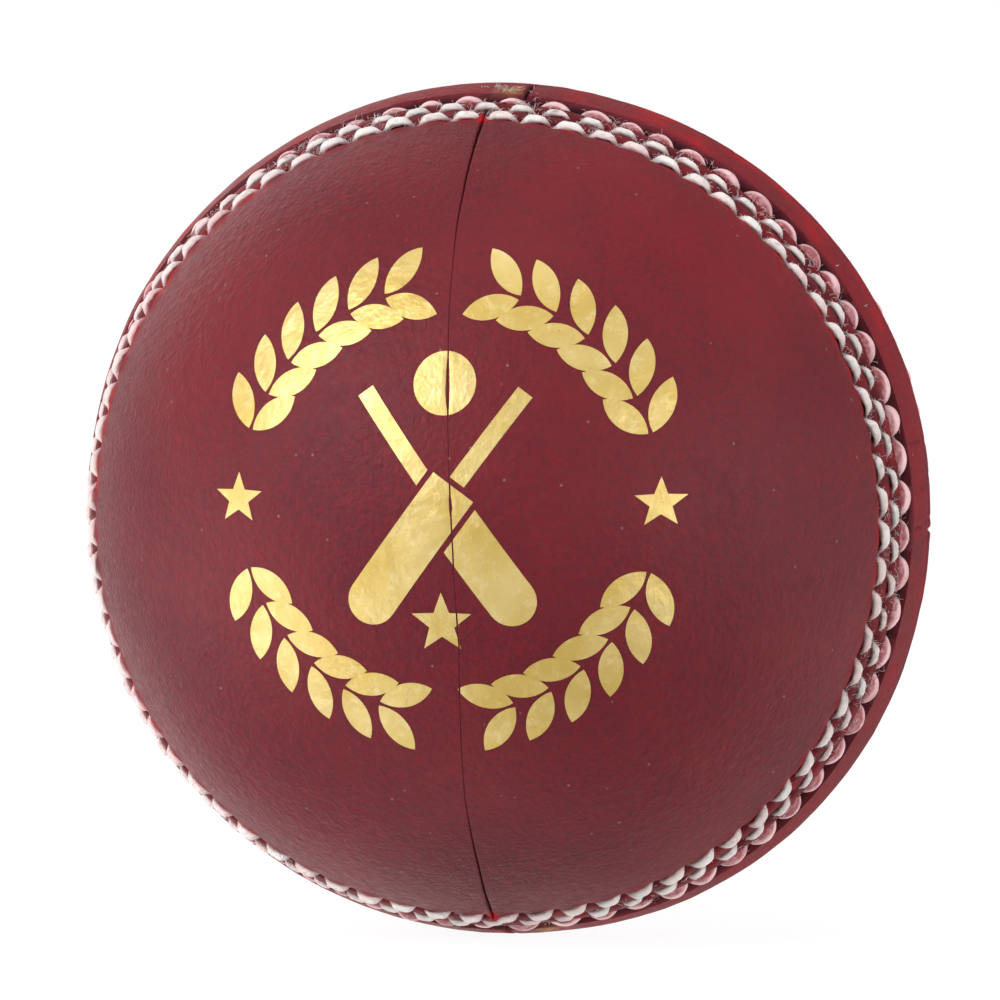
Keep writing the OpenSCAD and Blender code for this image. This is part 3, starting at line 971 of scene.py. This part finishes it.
def thread_material(name, clean, dyed_and_shaded, deep, gloss, sheen, deep_glow):
    m = Nodes(name)
    at = m.attribute("stains_and_shade")
    part = m.parts(at.outputs["Color"])
    strand = m.attribute("strand").outputs["Vector"]
    lines = m.noise(1.0, 3, 0.6, m.stretched((1.6, 5.5, 3.0), source=strand))
    body = m.mix(m.span(lines, 0.35, 0.65), clean, tuple(0.86 * c for c in clean))
    # The first mask mixes in the dyed colour; on the beads it also carries painted shade on the pole side,
    # leaving a painted highlight on the ridge side.
    dye_and_shade = m.math("MULTIPLY", part[0], m.span(m.noise(2.2, 4), 0.25, 0.7, 0.55, 1.25))
    body = m.mix(dye_and_shade, body, dyed_and_shaded)
    # The second mask darkens each stitch's foot towards deep: painted shade where the thread dips into the
    # leather.
    body = m.mix(m.math("MULTIPLY", part[1], 0.75), body, deep)
    normal = m.bump(lines, 0.9, 0.0002)
    normal = m.bump(m.noise(6.0, 4, 0.65), 0.7, 0.00009, normal)
    m.put(Base_Color=body, Roughness=m.span(lines, 0.2, 0.8, gloss, gloss + 0.15), Normal=normal)
    m.bsdf.inputs["Sheen Weight"].default_value = sheen
    m.bsdf.inputs["Sheen Roughness"].default_value = 0.5
    m.bsdf.inputs["Subsurface Weight"].default_value = deep_glow
    m.bsdf.inputs["Subsurface Radius"].default_value = (1.0, 0.8, 0.75)
    m.bsdf.inputs["Subsurface Scale"].default_value = 0.0003
    return m.mat


def foil_material():
    m = Nodes("pressed_gold_foil")
    worn = m.span(m.noise(2.8, 5, 0.75), 0.66, 0.71)
    broad = m.span(m.noise(0.14, 2), 0.35, 0.65)
    gold = m.mix(broad, (0.60, 0.42, 0.105), (0.70, 0.54, 0.21))
    pale = m.span(m.noise(0.8, 5, 0.7), 0.52, 0.66)
    gold = m.mix(m.math("MULTIPLY", pale, 0.45), gold, (0.78, 0.66, 0.35))
    colour = m.mix(worn, gold, (0.20, 0.05, 0.03))
    normal = m.bump(m.noise(3.2, 4, 0.6), 0.35, 0.00008)
    normal = m.bump(m.noise(0.7, 3), 0.5, 0.0003, normal)
    m.put(Base_Color=colour, Metallic=m.span(worn, 0, 1, 0.35, 0.05),
          Roughness=m.span(m.noise(2.0, 3), 0.3, 0.7, 0.34, 0.50), Normal=normal)
    return m.mat


def cork_material(name, light, dark, speck):
    m = Nodes(name)
    grain = m.span(m.voronoi(0.55), 0.1, 0.9)
    colour = m.mix(grain, light, dark)
    colour = m.mix(m.span(m.noise(0.8, 4), 0.58, 0.66), colour, speck)
    m.put(Base_Color=colour, Roughness=m.span(grain, 0, 1, 0.75, 0.9),
          Normal=m.bump(m.math("ADD", grain, m.noise(1.8, 4)), 0.5, 0.0002))
    return m.mat


def yarn_material():
    m = Nodes("wound_wool_yarn")
    lanes = []
    for turn in ((0.4, 0.2, 0.0), (1.3, 0.9, 0.4)):
        wave = m.new("ShaderNodeTexWave", {"Vector": m.stretched((1, 1, 1), turn)},
                     {"Scale": 0.32, "Distortion": 1.6, "Detail": 2.0})
        lanes.append(wave.outputs["Fac"])
    over = m.span(m.noise(0.12, 2), 0.47, 0.53)
    laid = m.math("ADD", m.math("MULTIPLY", lanes[0], over),
                  m.math("MULTIPLY", lanes[1], m.math("SUBTRACT", 1.0, over)))
    colour = m.mix(laid, (0.36, 0.28, 0.18), (0.66, 0.56, 0.40))
    m.put(Base_Color=colour, Roughness=m.span(m.noise(2.5, 3), 0.3, 0.7, 0.8, 0.95),
          Normal=m.bump(laid, 0.8, 0.0004))
    return m.mat


def plain_thread_material():
    m = Nodes("hidden_linen_thread")
    wave = m.new("ShaderNodeTexWave", {"Vector": m.stretched((1, 1, 1), (0.8, 0.6, 0.3))},
                 {"Scale": 0.9, "Distortion": 1.0})
    colour = m.mix(wave.outputs["Fac"], (0.62, 0.56, 0.47), (0.80, 0.76, 0.68))
    m.put(Base_Color=colour, Roughness=m.span(wave.outputs["Fac"], 0, 1, 0.7, 0.85),
          Normal=m.bump(wave.outputs["Fac"], 0.5, 0.00015))
    return m.mat


def paint(ob, material):
    ob.data.materials.clear()
    ob.data.materials.append(material)


# ---- the ball ----

leather = leather_material()
white_thread = thread_material("white_machine_thread", (0.95, 0.90, 0.87), (0.78, 0.40, 0.42),
                               (0.20, 0.02, 0.03), 0.62, 0.8, 0.6)
pink_thread = thread_material("pink_waxed_thread", (0.95, 0.60, 0.63), (0.30, 0.03, 0.045),
                              (0.03, 0.004, 0.008), 0.36, 0.15, 0.0)

for name, front, start in (("front_right_leather", True, -90), ("front_left_leather", True, 90),
                           ("back_upper_leather", False, 0), ("back_lower_leather", False, 180)):
    ob = build_quarter(name.replace("leather", "quarter_cover"), front, start)
    paint(ob, leather)
    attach(ob, "root")
    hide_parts(name)

for name, front, outer, seed in (("front_outer_row", True, True, 11), ("front_middle_row", True, False, 12),
                                 ("back_middle_row", False, False, 13), ("back_outer_row", False, True, 14)):
    lat, shift = (OUTER_LAT, 0.0) if outer else (MIDDLE_LAT, MIDDLE_SHIFT)
    ob = machine_row(name + "_stitches", front, lat, shift, outer, np.random.default_rng(seed))
    paint(ob, white_thread)
    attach(ob, "root")
    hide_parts(name + "_thread")

ob = primary_thread("primary_seam_stitches", np.random.default_rng(21))
paint(ob, pink_thread)
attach(ob, "root")
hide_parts("primary_seam_thread")

ob = foil_pieces("gold_foil_emblem")
paint(ob, foil_material())
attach(ob, "root")
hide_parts("gold_foil_stamp")

rubber = cork_material("cork_and_rubber", (0.11, 0.06, 0.035), (0.045, 0.025, 0.016), (0.30, 0.18, 0.10))
paint(nodes["core_nucleus"], rubber)
cork = cork_material("raw_cork", (0.44, 0.27, 0.14), (0.30, 0.17, 0.085), (0.12, 0.06, 0.03))
yarn = yarn_material()
linen = plain_thread_material()
for name in nodes:
    if name.endswith("cork_strips"):
        paint(nodes[name], cork)
    elif name.endswith("yarn_winding"):
        paint(nodes[name], yarn)
    elif name.endswith("row_bobbin") or name.endswith("quarter_seam_thread"):
        paint(nodes[name], linen)

# ---- studio ----

FLOOR_Z = -(RIDGE_TOP_R + 0.3) * MM
me = bpy.data.meshes.new("studio_floor")
me.from_pydata([(-8, -6, FLOOR_Z), (8, -6, FLOOR_Z), (8, 14, FLOOR_Z), (-8, 14, FLOOR_Z)], [], [(0, 1, 2, 3)])
floor = bpy.data.objects.new("studio_floor", me)
bpy.context.scene.collection.objects.link(floor)
m = Nodes("pale_floor")
m.put(Base_Color=(0.12, 0.12, 0.12), Roughness=0.9)
m.bsdf.inputs["Emission Color"].default_value = (1, 1, 1, 1)
m.bsdf.inputs["Emission Strength"].default_value = 0.94
m.bsdf.inputs["Specular IOR Level"].default_value = 0.0
paint(floor, m.mat)
floor.visible_glossy = False
floor.visible_diffuse = False
floor.visible_shadow = False

# The surroundings: an even dim light, and soft bright lobes behind the ball that give its edges their sheen.
# Each lobe is the direction towards it, the cosine where it starts and its strength.
SURROUND = 0.26
LOBES = [((-0.62, 0.79, 0), 0.88, 0.85), ((-0.42, 0.77, -0.48), 0.88, 1.08), ((-0.48, 0.72, 0.50), 0.86, 1.2),
         ((0, 0.3, -0.95), 0.70, 0.70), ((0.98, 0.1, 0), 0.70, 0.60), ((0.5, 0.3, 0.8), 0.70, 0.28),
         ((0.72, 0.48, -0.50), 0.80, 0.9)]

world = bpy.data.worlds.new("studio")
bpy.context.scene.world = world
world.use_nodes = True
wt = world.node_tree
direction = wt.nodes.new("ShaderNodeTexCoord").outputs["Generated"]
strength = SURROUND
for toward, start, amount in LOBES:
    dot = wt.nodes.new("ShaderNodeVectorMath")
    dot.operation = "DOT_PRODUCT"
    dot.inputs[1].default_value = Vector(toward).normalized()
    wt.links.new(direction, dot.inputs[0])
    lobe = wt.nodes.new("ShaderNodeMapRange")
    lobe.interpolation_type = "SMOOTHSTEP"
    for key, value in (("From Min", start), ("From Max", 0.965), ("To Min", 0), ("To Max", amount)):
        lobe.inputs[key].default_value = value
    wt.links.new(dot.outputs["Value"], lobe.inputs["Value"])
    add = wt.nodes.new("ShaderNodeMath")
    wt.links.new(lobe.outputs["Result"], add.inputs[0])
    if isinstance(strength, float):
        add.inputs[1].default_value = strength
    else:
        wt.links.new(strength, add.inputs[1])
    strength = add.outputs["Value"]
wt.nodes["Background"].inputs["Color"].default_value = (1, 0.965, 0.93, 1)
wt.links.new(strength, wt.nodes["Background"].inputs["Strength"])

# Soft square lamps round the ball: name, place in metres and watts
LAMP_SIZE = 0.7
LAMPS = [("soft_left", (-0.65, -0.80, 0.60), 13.8),
         ("fill_low", (-0.70, -0.70, -0.50), 3.1),
         ("soft_side", (-1.0, -0.10, -0.22), 5.6),
         ("soft_right", (1.0, -0.35, 0.12), 5.1),
         ("fill_right", (0.80, -0.75, 0.10), 1.7),
         ("soft_top", (0.15, -0.10, 1.10), 2.3),
         ("soft_low", (-0.20, -0.20, -1.05), 2.0)]
for name, place, power in LAMPS:
    data = bpy.data.lights.new(name, "AREA")
    data.shape = "RECTANGLE"
    data.size = data.size_y = LAMP_SIZE
    data.energy = power
    ob = bpy.data.objects.new(name, data)
    ob.location = place
    ob.rotation_euler = (-Vector(place)).to_track_quat("-Z", "Y").to_euler()
    bpy.context.scene.collection.objects.link(ob)

cam_data = bpy.data.cameras.new("camera")
cam = bpy.data.objects.new("camera", cam_data)
bpy.context.scene.collection.objects.link(cam)
bpy.context.scene.camera = cam
azimuth, elevation, distance = 9.1 * DEG, 4.0 * DEG, 1.5
back = Vector((math.sin(azimuth) * math.cos(elevation), -math.cos(azimuth) * math.cos(elevation),
               math.sin(elevation)))
cam.location = back * distance
cam.rotation_euler = back.to_track_quat("Z", "Y").to_euler()
cam_data.sensor_width = 36
cam_data.lens = 632.0
cam_data.shift_x = -0.0082
cam_data.shift_y = 0.0073
cam_data.clip_start, cam_data.clip_end = 0.1, 40

scene = bpy.context.scene
scene.view_settings.view_transform = "Standard"
